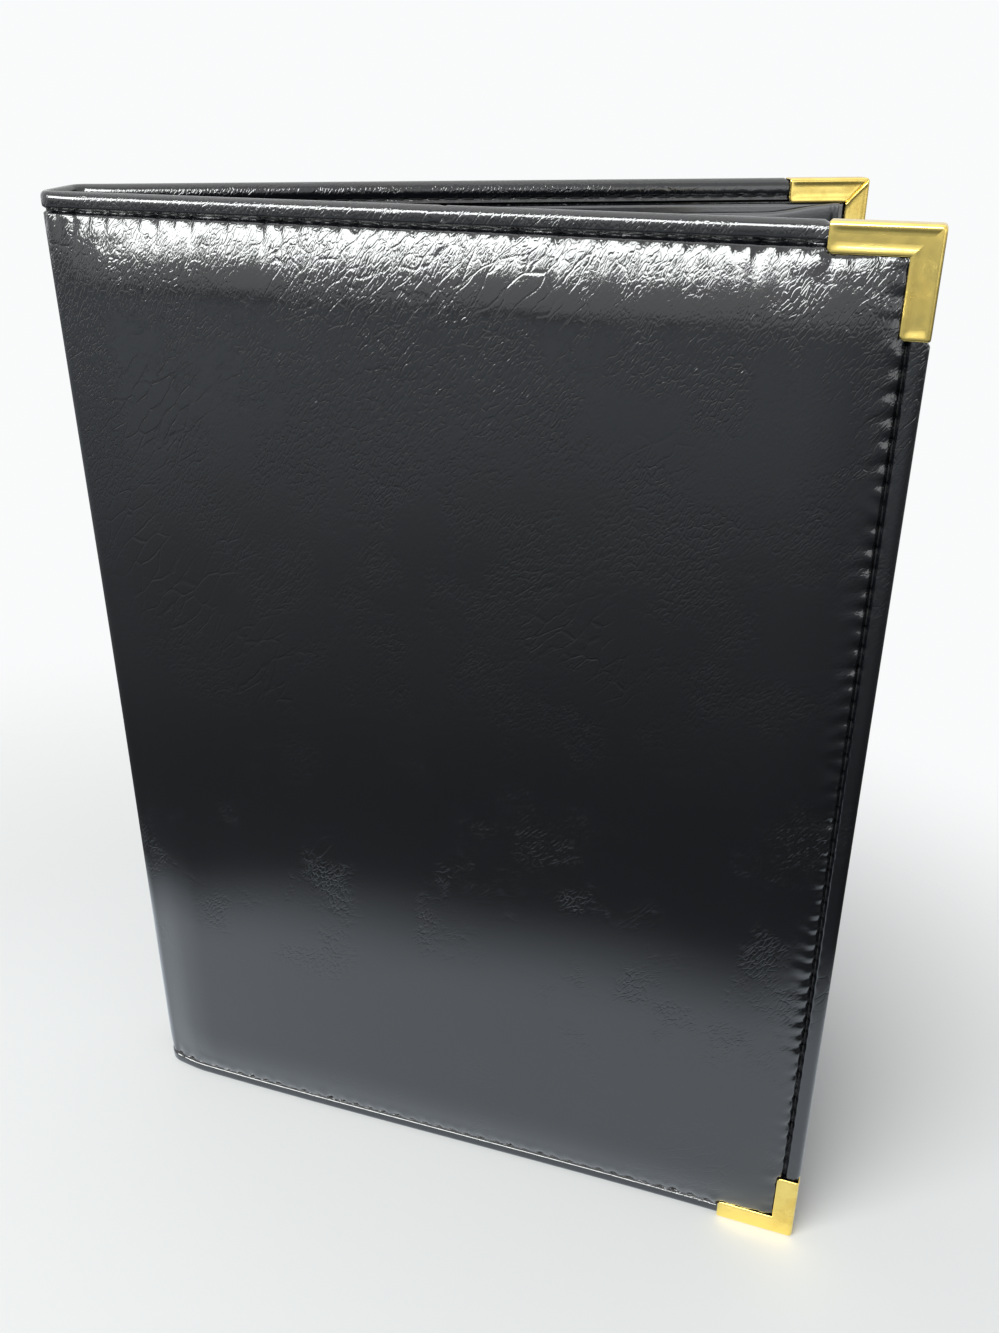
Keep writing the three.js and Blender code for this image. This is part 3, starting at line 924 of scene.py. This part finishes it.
def pocket_thread(name, side, shape):
    """Stitches round three sides of a pocket and along its hem."""
    def face(across, height, up, dip):
        depth = pocket_depth(shape, across, height) + 0.1 * MM - 0.4 * MM * dip
        return wrap(across, depth + up, height, side)

    def hem_line(across):
        return shape["mouth"](across) - shape["hem"] + MOUTH_SEAM

    left, right = shape["left"] + POCKET_SEAM, shape["right"] - POCKET_SEAM
    bottom = shape["bottom"] + POCKET_SEAM
    wide, tall = int((right - left) / STITCH), int((shape["mouth"](right) - bottom) / STITCH)
    rows = [
        lay_stitches(0, wide, lambda a, s, u, d: face(left + a, bottom + s, u, d)),
        lay_stitches(0, wide, lambda a, s, u, d: face(left + a, hem_line(left + a) + s, u, d)),
    ]
    for x in (left, right):
        rows.append(lay_stitches(0, tall, lambda a, s, u, d, x=x: face(x + s, bottom + a, u, d)))
    return joined(rows, name)


def pocket_shape(left, right, bottom, mouth, base, gape, hem):
    """A pocket's measures in millimetres, its sides from the fold line; mouth is a function."""
    return {
        "left": FOLD_LINE + left * MM, "right": FOLD_LINE + right * MM, "bottom": bottom * MM,
        "mouth": mouth, "base": base * MM, "gape": gape * MM, "hem": hem * MM,
    }


def pad_pocket_mouth(across):
    right = FOLD_LINE + COVER_WIDTH - 9 * MM
    return COVER_HEIGHT - 9.5 * MM + 2.4 * MM * smooth(across, right - 24 * MM, right)


fore_side = COVER_WIDTH / MM - 9
card_left = (21 + fore_side) / 2 - 52
shapes = {
    "pad_pocket": (BACK, pocket_shape(21, fore_side, 9, pad_pocket_mouth, 4.5, 1.6, 7)),
    "document_pocket": (
        FRONT, pocket_shape(21, fore_side, 9, lambda a: 214 * MM + 0 * a, 4.5, 1.6, 7)
    ),
    "card_pocket": (
        FRONT, pocket_shape(card_left, card_left + 104, 55, lambda a: 115 * MM + 0 * a, 5.6, 0.8, 5)
    ),
}
pockets, pocket_threads = {}, {}
for node, (side, shape) in shapes.items():
    pockets[node] = pocket(node + "_skin", side, shape)
    pocket_threads[node] = pocket_thread(node + "_thread", side, shape)
print("pockets:", ", ".join(piece.name for piece in pockets.values()))

# %% [markdown]
# ## The pen loop
#
# A strip of ribbed elastic goes once round a pen. Its two ends lie on each other as a tongue.

# %% The pen loop, as a strip along a path
def pen_loop_path():
    """Places of the strip's middle, as distance from the fold line and depth."""
    lies, radius, centre = 4.95 * MM, 5.45 * MM, 15.5 * MM
    tongue = [(centre - 5.5 * MM + x * MM, lies) for x in (0, 0.8, 1.8, 2.8, 3.8, 4.7)]
    angles = np.radians(np.linspace(-90, 208, 50))
    ring = [(centre + radius * math.cos(a), lies + radius + radius * math.sin(a)) for a in angles]
    end = [(-5.15, 2.1), (-4.75, 1.45), (-4.9, 1.1), (-5.3, 0.95), (-5.5, 0.95)]
    end = [(centre + x * MM, lies + y * MM) for x, y in end]
    return np.array(tongue + ring + end)


path = pen_loop_path()
loop_levels = (COVER_HEIGHT - 22 * MM) / 2 + np.linspace(0, 22 * MM, 111)
loop, station, height = laid_grid("elastic_pen_loop", np.arange(len(path)), loop_levels)
station = station.astype(int)
tangent = np.gradient(path, axis=0)
tangent = tangent / np.linalg.norm(tangent, axis=1)[:, None]
rib = 0.1 * MM * np.sin(height / (1.2 * MM) * 2 * math.pi)
spots = path[station] + rib[:, None] * np.stack([tangent[station, 1], -tangent[station, 0]], -1)
move_to(loop, wrap(FOLD_LINE + spots[:, 0], spots[:, 1], height, BACK))
thicken(loop, 0.75 * MM, offset=0, crease=50)
print("pen loop:", len(loop.data.polygons), "faces")

# %% [markdown]
# ## The finish of the hide
#
# This is bonded hide with a hard, clear top coat. The gloss is a smooth coat over a darker, softer
# base. What gives it away as leather is the relief: fine pebbles, a net of creases that the
# turning and stuffing pressed in, and a fine crinkle where it is stretched. All of it is height
# for a Bump node, read from Object coordinates so that the grain has its real scale everywhere.

# %% Helpers for building a finish out of nodes
class Finish:
    """A material whose nodes are added one by one, each with its inputs set by name."""

    def __init__(self, name, colour, roughness, metallic=0.0):
        self.material = bpy.data.materials.new(name)
        self.material.use_nodes = True
        self.tree = self.material.node_tree
        self.shader = self.tree.nodes["Principled BSDF"]
        self.shader.inputs["Base Color"].default_value = (*colour, 1)
        self.shader.inputs["Roughness"].default_value = roughness
        self.shader.inputs["Metallic"].default_value = metallic
        self.coordinates = self.tree.nodes.new("ShaderNodeTexCoord").outputs["Object"]

    def put(self, socket, value):
        if isinstance(value, bpy.types.NodeSocket):
            self.tree.links.new(value, socket)
        else:
            socket.default_value = value

    def node(self, kind, **settings):
        made = self.tree.nodes.new(kind)
        for name, value in settings.items():
            setattr(made, name, value)
        return made

    def math(self, operation, first, second=0.0, third=0.0, clamp=False):
        made = self.node("ShaderNodeMath", operation=operation, use_clamp=clamp)
        for socket, value in zip(made.inputs, (first, second, third)):
            self.put(socket, value)
        return made.outputs[0]

    def times(self, first, second):
        return self.math("MULTIPLY", first, second)

    def coat(self, roughness, ior):
        """A clear coat over the base."""
        for name, value in (("Weight", 1.0), ("Roughness", roughness), ("IOR", ior)):
            self.shader.inputs["Coat " + name].default_value = value

    def base_mix(self, factor, first, second):
        """Makes the base colour a mix of two."""
        made = self.node("ShaderNodeMix", data_type="RGBA")
        self.put(made.inputs["Factor"], factor)
        made.inputs["A"].default_value = (*first, 1)
        made.inputs["B"].default_value = (*second, 1)
        self.put(self.shader.inputs["Base Color"], made.outputs["Result"])

    def length(self, at):
        made = self.node("ShaderNodeVectorMath", operation="LENGTH")
        self.put(made.inputs[0], at)
        return made.outputs["Value"]

    def vector(self, operation, first, second):
        made = self.node("ShaderNodeVectorMath", operation=operation)
        self.put(made.inputs[0], first)
        if operation == "SCALE":
            self.put(made.inputs["Scale"], second)
        else:
            self.put(made.inputs[1], second)
        return made.outputs[0]

    def step(self, value, low, high, to_low=0.0, to_high=1.0):
        made = self.node("ShaderNodeMapRange", interpolation_type="SMOOTHSTEP")
        for name, number in zip(
            ("Value", "From Min", "From Max", "To Min", "To Max"),
            (value, low, high, to_low, to_high),
        ):
            self.put(made.inputs[name], number)
        return made.outputs[0]

    def noise(self, at, scale, detail=2.0, rough=0.5, output="Fac"):
        made = self.node("ShaderNodeTexNoise")
        self.put(made.inputs["Vector"], at)
        made.inputs["Scale"].default_value = scale
        made.inputs["Detail"].default_value = detail
        made.inputs["Roughness"].default_value = rough
        return made.outputs[output]

    def cells(self, at, scale, feature="F1", output="Distance"):
        made = self.node("ShaderNodeTexVoronoi", feature=feature)
        self.put(made.inputs["Vector"], at)
        made.inputs["Scale"].default_value = scale
        return made.outputs[output]

    def stretched(self, at, turn, scale):
        """Coordinates for a pattern that is turned, and then drawn out along its own axes."""
        made = self.node("ShaderNodeMapping", vector_type="TEXTURE")
        self.put(made.inputs["Vector"], at)
        made.inputs["Rotation"].default_value = turn
        made.inputs["Scale"].default_value = scale
        return made.outputs[0]

    def bump(self, height, distance, strength=1.0):
        made = self.node("ShaderNodeBump")
        self.put(made.inputs["Height"], height)
        made.inputs["Distance"].default_value = distance
        made.inputs["Strength"].default_value = strength
        self.tree.links.new(made.outputs[0], self.shader.inputs["Normal"])
        return made

    def pull_about(self, at, scale, by):
        """The coordinates pushed about by noise, so that lines drawn with them wander."""
        shaken = self.noise(at, scale, 3.0, 0.6, "Color")
        centred = self.vector("SUBTRACT", shaken, (0.5, 0.5, 0.5))
        return self.vector("ADD", at, self.vector("SCALE", centred, by))


# %% Black grained hide
def crease_net(finish, at, scale, width):
    """Thin lines along the borders of a net of cells, 1 on a line and 0 off it."""
    gap = finish.cells(at, scale, "DISTANCE_TO_EDGE")
    return finish.step(gap, 0.0, width, 1.0, 0.0)


def hide_relief(finish):
    """Relief of the hide, as a share of a millimetre: crinkle, pebbles and creases."""
    at = finish.coordinates
    high_up = finish.node("ShaderNodeSeparateXYZ")
    finish.put(high_up.inputs[0], at)
    near_top = finish.step(high_up.outputs["Z"], 0.12, 0.31)

    def drawn_out(at, degrees, longer):
        return finish.stretched(at, (0, math.radians(degrees), 0), (1, 1, longer))

    wandering = finish.pull_about(finish.pull_about(at, 30, 0.01), 260, 0.0007)
    long_creases = crease_net(finish, drawn_out(wandering, 42, 4), 250, 0.07)
    where_long = finish.math("MULTIPLY_ADD", near_top, 0.1, finish.noise(at, 16, 3, 0.6))
    where_long = finish.step(where_long, 0.58, 0.72)
    creases = finish.times(finish.times(long_creases, where_long), 0.04)

    leaning = drawn_out(finish.pull_about(at, 140, 0.003), 28, 3.2)
    short_creases = crease_net(finish, leaning, 950, 0.17)
    where_short = finish.math("MULTIPLY_ADD", near_top, 0.08, finish.noise(at, 36, 4, 0.65))
    where_short = finish.step(where_short, 0.46, 0.64)
    small = finish.times(finish.times(short_creases, where_short), 0.034)

    shaken = drawn_out(finish.pull_about(at, 500, 0.0012), 14, 2.4)
    crinkle = finish.step(finish.cells(shaken, 1300, "DISTANCE_TO_EDGE"), 0.0, 0.35)
    pebbles = finish.noise(shaken, 1700, 3, 0.6)
    amount = finish.step(finish.noise(at, 55, 3, 0.6), 0.3, 0.7, 0.25, 1.0)
    amount = finish.times(amount, finish.math("MULTIPLY_ADD", near_top, 0.82, 0.18))
    relief = finish.times(finish.times(crinkle, amount), 0.016)
    relief = finish.math("MULTIPLY_ADD", pebbles, finish.times(amount, 0.028), relief)
    return finish.math("SUBTRACT", relief, finish.math("ADD", creases, small))


HIDE_BLACK = (0.0022, 0.0025, 0.0034)
CUT_EDGE_OLIVE = (0.055, 0.046, 0.024)
hide_finish = Finish("black_grained_hide", HIDE_BLACK, 0.3)
hide_finish.shader.inputs["Specular IOR Level"].default_value = 0.03
hide_finish.coat(0.11, 1.72)
hide_bump = hide_finish.bump(hide_relief(hide_finish), 0.001)
hide_finish.put(hide_finish.shader.inputs["Coat Normal"], hide_bump.outputs[0])
bare = hide_finish.node("ShaderNodeAttribute", attribute_name="cut_edge").outputs["Fac"]
hide_finish.base_mix(bare, HIDE_BLACK, CUT_EDGE_OLIVE)
print("hide finish:", len(hide_finish.tree.nodes), "nodes")

# %% [markdown]
# ## The other finishes
#
# The lining is the same black, with a finer, regular grain and less gloss. The thread and the
# elastic are matt. The brass is polished, with the faint clouds of fingers and some hair scratches.

# %% Leatherette, thread and elastic
lining_finish = Finish("black_leatherette", (0.014, 0.0145, 0.0165), 0.3)
lining_finish.coat(0.2, 1.9)
fine_grain = lining_finish.cells(lining_finish.coordinates, 1500, "SMOOTH_F1")
soft_folds = lining_finish.noise(lining_finish.coordinates, 210, 4, 0.6)
lining_finish.bump(lining_finish.math("MULTIPLY_ADD", fine_grain, -0.35, soft_folds), 0.0003, 0.5)

thread_finish = Finish("black_thread", (0.005, 0.005, 0.0055), 0.7)
thread_finish.shader.inputs["Specular IOR Level"].default_value = 0.2
twist = thread_finish.stretched(thread_finish.coordinates, (0.6, 0.5, 0.7), (1, 1, 1))
ply = thread_finish.node("ShaderNodeTexWave", bands_direction="X")
thread_finish.put(ply.inputs["Vector"], twist)
ply.inputs["Scale"].default_value = 900
thread_finish.bump(ply.outputs["Fac"], 0.0001, 0.6)

elastic_finish = Finish("black_elastic", (0.014, 0.014, 0.015), 0.75)
weave = elastic_finish.cells(elastic_finish.coordinates, 2200)
elastic_finish.bump(weave, 0.0001, 0.5)

# %% Brass
brass = Finish("polished_brass", (0.79, 0.57, 0.2), 0.16, 1.0)
at = brass.coordinates
clouds = brass.noise(brass.pull_about(at, 60, 0.006), 90, 4, 0.6)
brass.put(brass.shader.inputs["Roughness"], brass.step(clouds, 0.3, 0.75, 0.17, 0.31))
brass.base_mix(brass.step(clouds, 0.35, 0.8), (0.83, 0.64, 0.19), (0.68, 0.48, 0.12))
hairs = brass.stretched(brass.pull_about(at, 25, 0.01), (0.3, 0.9, 0.2), (1, 1, 0.03))
scratches = brass.step(brass.cells(hairs, 700, "DISTANCE_TO_EDGE"), 0.0, 0.02, 1, 0)
scratches = brass.times(scratches, brass.step(brass.noise(at, 130), 0.5, 0.7))
specks = brass.step(brass.cells(at, 420), 0.0, 0.09, 1, 0)
waves = brass.times(brass.noise(at, 150, 2), 0.5)
relief = brass.math("SUBTRACT", waves, brass.times(scratches, 0.06))
relief = brass.math("SUBTRACT", relief, brass.times(specks, 0.05))
brass.bump(relief, 0.0004, 0.35)

# %% [markdown]
# ## Which piece moves with what
#
# A piece that crosses the fold keeps the place it was made in, on no body. The others ride on a
# cover.
# Each takes the place of the solids that it dresses.


# %% Finishes, bodies and the solids that the pieces stand for
def dress(piece, finish, nodes=()):
    piece.data.materials.clear()
    piece.data.materials.append(finish.material)
    if nodes:
        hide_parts(*nodes)


def across_fold(side):
    """The two ends of the bend, in world places, for a piece that crosses this fold."""
    start, end = wrap(np.array([SPINE_HALF, COVER_AT]), 0, COVER_HEIGHT, side)
    return tuple(start), tuple(end)


halves = (
    ("front", FRONT, front_hide, front_thread, front_lining),
    ("back", BACK, back_hide, back_thread, back_lining),
)
for word, side, hide, thread, lining in halves:
    cover = word + "_cover"
    dress(hide, hide_finish, [cover + "_hide", cover + "_padding", cover + "_board"])
    dress(thread, thread_finish)
    dress(lining, lining_finish, [cover + "_lining"])
    for piece in (hide, thread, lining):
        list(across_fold(side))
        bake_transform(piece)
    for end in ("top", "bottom"):
        corner = brass_corners[f"{word}_{end}_brass"]
        dress(corner, brass, [f"{word}_{end}_corner"])
        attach(corner, cover)
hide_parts("spine_hide", "spine_stiffener")
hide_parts("spine_lining")

for node, (side, shape) in shapes.items():
    dress(pockets[node], lining_finish, [node])
    dress(pocket_threads[node], thread_finish)
    cover, lining = ("front_cover", front_lining) if side == FRONT else ("back_cover", back_lining)
    for piece in (pockets[node], pocket_threads[node]):
        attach(piece, cover)
    tall = float(shape["mouth"](shape["left"])) - shape["bottom"]
dress(loop, elastic_finish, ["pen_loop"])
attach(loop, "back_cover")

# %% [markdown]
# ## Floor and light
#
# Black gloss has hardly any colour of its own, so its look is what it mirrors. The cover mirrors,
# from its foot upwards, the pale floor close in front of it, then a dark stretch of floor where
# somebody stands in the light, then the room. Only its top edge, where the foam falls away to the
# seam, is turned up enough to mirror the window. A strip on the floor in front carries a painted
# reflection of all this: pale floor, then the painted shade of that somebody, then the room, with
# a faint painted blue tint. It shows in reflections alone, and casts no shadow.

# %% The floor, which fades into the white behind, and the painted reflection strip in front
scene = bpy.context.scene
scene.view_settings.view_transform = "Standard"


def ground(name, reach, finish):
    """A square on the floor that reaches this far to every side."""
    ends = np.linspace(-reach, reach, 3)
    square, along_x, along_y = laid_grid(name, ends, ends)
    lay(square, along_x, along_y, 0)
    square.data.materials.append(finish.material)
    return square


floor_finish = Finish("pale_floor", (0.67, 0.67, 0.665), 0.9)
under_cover = (-0.12, -0.24, 0)
away = floor_finish.vector("SUBTRACT", floor_finish.coordinates, under_cover)
fade = floor_finish.node("ShaderNodeMixShader")
floor_finish.put(fade.inputs[0], floor_finish.step(floor_finish.length(away), 0.3, 0.62))
floor_finish.put(fade.inputs[1], floor_finish.shader.outputs[0])
floor_finish.put(fade.inputs[2], floor_finish.node("ShaderNodeBsdfTransparent").outputs[0])
surface = floor_finish.tree.nodes["Material Output"].inputs["Surface"]
floor_finish.put(surface, fade.outputs[0])
floor = ground("floor", 5, floor_finish)

# Painted reflection: a strip that only gloss sees, coloured as the cover should mirror the floor in
# front.
painted_reflection_finish = Finish("dark_strip", (0.02, 0.02, 0.022), 0.9)
spot = painted_reflection_finish.node("ShaderNodeSeparateXYZ")
painted_reflection_finish.put(spot.inputs[0], painted_reflection_finish.coordinates)
off_middle = painted_reflection_finish.math("SUBTRACT", spot.outputs["X"], COVER_WIDTH / 2)
off_middle = painted_reflection_finish.math("ABSOLUTE", off_middle)
past_cover = painted_reflection_finish.math("SUBTRACT", off_middle, COVER_WIDTH / 2)
past_cover = painted_reflection_finish.math("MAXIMUM", past_cover, 0.0)
across_both = painted_reflection_finish.node("ShaderNodeCombineXYZ")
painted_reflection_finish.put(across_both.inputs[0], past_cover)
painted_reflection_finish.put(across_both.inputs[1], spot.outputs["Y"])
away = painted_reflection_finish.length(across_both.outputs[0])
shade = painted_reflection_finish.node("ShaderNodeValToRGB")
painted_reflection_finish.put(shade.inputs["Fac"], painted_reflection_finish.times(away, 0.5))
ramp = shade.color_ramp
ramp.interpolation = "EASE"
# Painted reflection levels by distance from the cover: pale floor close in, then painted shade
# where somebody stands in the light, then the grey room; each level gets a faint painted blue tint.
stops = ((0.042, 0.86), (0.078, 0.02), (0.11, 0.01), (0.22, 0.06), (0.45, 0.14), (1, 0.18))
while len(ramp.elements) < len(stops):
    ramp.elements.new(0.5)
for element, (place, level) in zip(ramp.elements, stops):
    element.position = place
    element.color = (level * 0.9, level * 0.96, level * 1.04, 1)
painted_reflection_finish.put(painted_reflection_finish.shader.inputs["Base Color"], shade.outputs["Color"])
strip = ground("dark_strip", 3, painted_reflection_finish)
strip.location = (fold_x, -fold_y, 0.5 * MM)
strip.rotation_euler = (0, 0, -lean)
for kind in ("camera", "diffuse", "shadow", "transmission"):
    setattr(strip, "visible_" + kind, False)

# %% The white room, which the camera, gloss and glass see, and its plain light for the rest
world = bpy.data.worlds.new("studio")
scene.world = world
world.use_nodes = True
sky = world.node_tree
plain = sky.nodes["Background"]
plain.inputs["Color"].default_value = (0.9, 0.94, 1, 1)
plain.inputs["Strength"].default_value = 0.22
white = sky.nodes.new("ShaderNodeBackground")
white.inputs["Color"].default_value = (0.95, 0.96, 0.965, 1)
white.inputs["Strength"].default_value = 1.0
seen = sky.nodes.new("ShaderNodeLightPath")
shown = seen.outputs["Is Camera Ray"]
for ray in ("Is Glossy Ray", "Is Transmission Ray"):
    either = sky.nodes.new("ShaderNodeMath")
    either.operation = "MAXIMUM"
    sky.links.new(shown, either.inputs[0])
    sky.links.new(seen.outputs[ray], either.inputs[1])
    shown = either.outputs[0]
mixed = sky.nodes.new("ShaderNodeMixShader")
for socket, output in zip(mixed.inputs, (shown, plain.outputs[0], white.outputs[0])):
    sky.links.new(output, socket)
sky.links.new(mixed.outputs[0], sky.nodes["World Output"].inputs["Surface"])
print("stage:", floor.name, strip.name, world.name)


# %% Soft lights
def soft_light(name, location, aim, size, power, colour=(1, 1, 1), roll=0.0):
    data = bpy.data.lights.new(name, "AREA")
    data.shape = "RECTANGLE"
    data.size, data.size_y = size
    data.energy = power
    data.color = colour
    lamp = bpy.data.objects.new(name, data)
    scene.collection.objects.link(lamp)
    lamp.location = location
    turn = (Vector(aim) - Vector(location)).to_track_quat("-Z", "Y")
    lamp.rotation_euler = (turn @ Quaternion((0, 0, 1), math.radians(roll))).to_euler()
    return lamp


soft_light("overhead", (0, 0.3, 1.9), (0, 0.3, 0), (2.6, 2.6), 14)
soft_light("window", (-1.12, -1.65, 1.18), (0, 0, 0.28), (2.5, 0.82), 98, (0.97, 1, 0.99), roll=10)
soft_light("side window", (1.35, -1.75, 0.42), (0, 0, 0.25), (1.7, 0.8), 4, (0.98, 0.99, 1))
